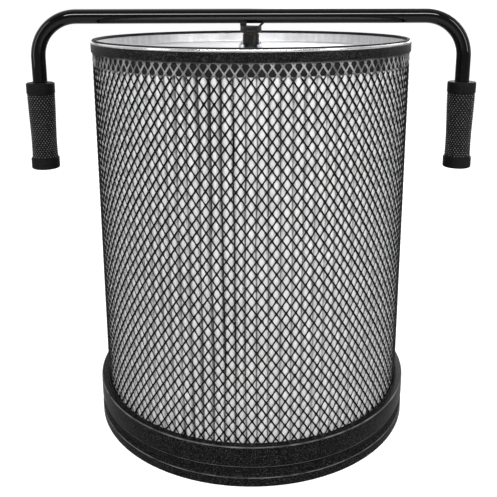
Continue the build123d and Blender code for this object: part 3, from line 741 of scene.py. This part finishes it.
gloss_black = surface("gloss_black", (0.0005, 0.002), (0.03, 0.08), patch=30.0, grain=600.0,
                      bump=0.03, depth=0.0001, Specular_IOR_Level=0.28)
tube_low, tube_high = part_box("handle_tube")
tube_side, tube_bend = 22.0 * MM, 62.0 * MM
leg = tube_high.x - tube_side / 2
axis_height = tube_high.z - tube_side / 2
tube_line = bpy.data.meshes.new("tube_line")
tube_corners = [(-leg, 0, tube_low.z), (-leg, 0, axis_height), (leg, 0, axis_height), (leg, 0, tube_low.z)]
tube_line.from_pydata(tube_corners, [(0, 1), (1, 2), (2, 3)], [])

bending = bpy.data.node_groups.new("bending", "GeometryNodeTree")
given = sockets(bending, Bend=tube_bend, Side=tube_side, Bend_Steps=28, Round_Steps=56)
path = add(bending, "GeometryNodeMeshToCurve", {"Mesh": given["Geometry"]}).outputs[0]
bent = add(bending, "GeometryNodeFilletCurve", {"Curve": path, "Radius": given["Bend"],
                                               "Count": given["Bend Steps"]}, mode="POLY").outputs[0]
section = add(bending, "GeometryNodeCurvePrimitiveCircle",
              {"Resolution": given["Round Steps"],
               "Radius": calc(bending, "DIVIDE", given["Side"], 2.0)}).outputs[0]
tube = add(bending, "GeometryNodeCurveToMesh", {"Curve": bent, "Profile Curve": section,
                                               "Fill Caps": True}).outputs[0]
real_tube = add(bending, "GeometryNodeRealizeInstances", {"Geometry": tube}).outputs[0]
closed_tree(bending, real_tube, gloss_black)

tube_mesh = grown("handle_bar", bending, tube_line)
placed("handle_bar", finish_mesh(tube_mesh, gloss_black), "sweeper", "gloss_black", "handle_tube")


# ---- Grips ----
# Moulded rubber sleeves pushed over the handle's legs. Each has a smooth collar at both ends,
# a slight waist, a closed lower end, and fine raised diamonds over its middle.

grip_rubber = surface("grip_rubber", (0.001, 0.010), (0.45, 0.65), patch=220.0, grain=700.0,
                      bump=0.3, depth=0.0002, speck=0.3, Specular_IOR_Level=0.08)
grip_low, grip_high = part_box("left_grip")[0].z / MM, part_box("left_grip")[1].z / MM
grip_collar, collar_tall, sleeve_bore, bore_deep = 21.75, 17.0, 11.05, 8.0
neck_low, neck_high = grip_low + collar_tall, grip_high - collar_tall
waist_stops = ((0.0, 19.4), (1 / 3, 19.0), (2 / 3, 19.9), (1.0, 20.5))


def waist(share):
    """The grip's radius at a share of the way up between its collars, on a curve through the stops."""
    total = 0.0
    for place, r in waist_stops:
        for other, _ in waist_stops:
            if other != place:
                r *= (share - other) / (place - other)
        total += r
    return total


middle_line = [(waist(k / 16), neck_low + (neck_high - neck_low) * k / 16) for k in range(17)]
low_part = rounded([(0, grip_low), (grip_collar, grip_low), (grip_collar, neck_low), middle_line[0]],
                   (0, 2.2, 0.9, 0))
high_part = rounded([middle_line[-1], (grip_collar, neck_high), (grip_collar, grip_high),
                     (sleeve_bore, grip_high), (sleeve_bore, grip_high - bore_deep),
                     (0, grip_high - bore_deep)],
                    (0, 0.9, 2.2, 0.5, 0, 0))
sleeve_mesh = turned("sleeve", low_part + [Vector(p) for p in middle_line[1:-1]] + high_part, 96)

relief_rows, relief_round, relief_sunk = 30, 26, 0.12
relief_points = []
for row_number in range(relief_rows):
    share = (row_number + 0.8) / (relief_rows + 0.6)
    for k in range(relief_round):
        angle = 2 * pi * (k + row_number % 2 / 2) / relief_round
        r = waist(share) - relief_sunk
        relief_points.append((r * sin(angle) * MM, -r * cos(angle) * MM,
                              (neck_low + (neck_high - neck_low) * share) * MM))
relief_mesh = bpy.data.meshes.new("relief_points")
relief_mesh.from_pydata(relief_points, [], [])

studding = bpy.data.node_groups.new("studding", "GeometryNodeTree")
given = sockets(studding, Width=0.0026, Height=0.0009, Tall=1.1)
diamond = add(studding, "GeometryNodeMeshCone",
              {"Vertices": 4, "Radius Top": calc(studding, "MULTIPLY", given["Width"], 0.2),
               "Radius Bottom": calc(studding, "DIVIDE", given["Width"], 2.0),
               "Depth": given["Height"]}).outputs["Mesh"]
on_grip = add(studding, "GeometryNodeInputPosition").outputs[0]
at = add(studding, "ShaderNodeSeparateXYZ", {0: on_grip}).outputs
outward = calc(studding, "ARCTAN2", at["X"], calc(studding, "MULTIPLY", at["Y"], -1.0))
studs_on = add(studding, "GeometryNodeInstanceOnPoints",
               {"Points": given["Geometry"], "Instance": diamond,
                "Rotation": add(studding, "ShaderNodeCombineXYZ", {"X": pi / 2, "Z": outward}).outputs[0],
                "Scale": add(studding, "ShaderNodeCombineXYZ",
                             {"X": 1.0, "Y": given["Tall"], "Z": 1.0}).outputs[0]}).outputs[0]
real_studs = add(studding, "GeometryNodeRealizeInstances", {"Geometry": studs_on}).outputs[0]
# The diamonds get a lighter rubber than the sleeve: a painted highlight for light caught on their tips.
worn_rubber = surface("worn_rubber", (0.004, 0.16), (0.35, 0.6), patch=300.0, grain=260.0,
                      bump=0.3, depth=0.0002, speck=0.5, Specular_IOR_Level=0.2)
closed_tree(studding, real_studs, worn_rubber)

for side, node in ((-1, "left_grip"), (1, "right_grip")):
    relief = grown(node + "_relief", studding, relief_mesh)
    for piece, mesh, rubber in (("_sleeve", sleeve_mesh.copy(), grip_rubber),
                                ("_relief", relief, worn_rubber)):
        finish_mesh(mesh, rubber)
        mesh.transform(Matrix.Translation((side * leg, 0, 0)))
        placed(node + piece, mesh, "sweeper", "grip_rubber", node)


# ---- Sweeper inside the canister ----
# Two flat bars on the shaft carry upright paddles. Rubber flaps are riveted to them under clamp
# strips, and they knock the dust off the pleats as the handle is turned.

flap_rubber = surface("flap_rubber", (0.006, 0.014), (0.6, 0.8), patch=120.0, grain=900.0,
                      bump=0.4, depth=0.0002)
rivet_alloy = surface("rivet_alloy", ((0.55, 0.55, 0.56), (0.72, 0.72, 0.73)), (0.3, 0.42), metal=1.0,
                      patch=300.0, grain=1500.0, bump=0.15, depth=0.0001)
dressed(zinc_steel, "upper_arm", "lower_arm", "arm_bolts", "arm_nuts", "left_paddle_bar",
        "right_paddle_bar", "left_clamp_strip", "right_clamp_strip")
dressed(flap_rubber, "left_flap", "right_flap")
dressed(rivet_alloy, "flap_rivets")


# ---- Floor, light and camera ----
# A pale floor, a strip of light in front, weaker lights at the sides and behind, and a view from
# a little above the lid. The floor's glow and the even white air are for the camera's rays only:
# the air that lights the object is dim in front and bright behind, so that its blacks stay black.

floor_finish = surface("floor_finish", (0.48, 0.52), (0.6, 0.7), patch=3.0, grain=60.0)
lit = floor_finish.node_tree
looked_at = add(lit, "ShaderNodeLightPath").outputs["Is Camera Ray"]
glow = calc(lit, "MULTIPLY", looked_at, 0.70)
lit_shader = lit.nodes["Principled BSDF"].inputs
lit_shader["Emission Color"].default_value = (1.0, 1.0, 1.0, 1.0)
lit.links.new(glow, lit_shader["Emission Strength"])
floor_mesh = bpy.data.meshes.new("floor")
floor_half = 12
floor_corners = [(x * floor_half, y * floor_half, 0) for x, y in ((-1, -1), (1, -1), (1, 1), (-1, 1))]
floor_mesh.from_pydata(floor_corners, [], [(0, 1, 2, 3)])
floor_mesh.materials.append(floor_finish)
floor = bpy.data.objects.new("floor", floor_mesh)
bpy.context.scene.collection.objects.link(floor)

world = bpy.data.worlds.new("studio")
world.use_nodes = True
sky = world.node_tree
seen = add(sky, "ShaderNodeLightPath").outputs["Is Camera Ray"]
heading = add(sky, "ShaderNodeTexCoord").outputs["Generated"]
way = add(sky, "ShaderNodeSeparateXYZ", {0: heading}).outputs
behind = add(sky, "ShaderNodeMapRange", {"Value": way["Y"], "From Min": -0.5, "From Max": 0.7,
                                         "To Min": 0.22, "To Max": 1.15}).outputs[0]
strength = add(sky, "ShaderNodeMix", {0: seen, 2: behind, 3: 1.0}, data_type="FLOAT").outputs[0]
backdrop = sky.nodes["Background"].inputs
sky.links.new(strength, backdrop["Strength"])
backdrop["Color"].default_value = (1.0, 1.0, 1.0, 1.0)
bpy.context.scene.world = world
bpy.context.scene.view_settings.view_transform = "Standard"


def softbox(name, place, aim, wide, tall, power):
    """A rectangular light that faces a point."""
    lamp = bpy.data.lights.new(name, "AREA")
    lamp.shape = "RECTANGLE"
    lamp.size, lamp.size_y, lamp.energy = wide, tall, power
    box = bpy.data.objects.new(name, lamp)
    box.location = place
    box.rotation_mode = "QUATERNION"
    box.rotation_quaternion = (Vector(aim) - Vector(place)).to_track_quat("-Z", "Y")
    bpy.context.scene.collection.objects.link(box)


above_middle, middle = (0, 0, 0.4), (0, 0, 0.35)
softbox("front_strip", (0.0, -2.0, 2.0), above_middle, 2.6, 0.36, 78)
softbox("left", (-2.4, -1.2, 1.2), middle, 0.6, 1.8, 14)
softbox("right", (2.2, -1.6, 1.3), middle, 0.5, 1.6, 22)
softbox("back", (0.9, 2.6, 1.5), middle, 1.8, 1.2, 28)

camera = bpy.data.cameras.new("camera")
camera.lens = 50.928
camera.shift_x = -0.0056
camera.shift_y = -0.165
eye = bpy.data.objects.new("camera", camera)
eye.location = (0.0, -1.0978, 0.6595)
eye.rotation_mode = "QUATERNION"
look_down, roll = radians(13.435), radians(-0.162)
eye.rotation_quaternion = Quaternion((1, 0, 0), pi / 2 - look_down) @ Quaternion((0, 0, 1), roll)
bpy.context.scene.collection.objects.link(eye)
bpy.context.scene.camera = eye
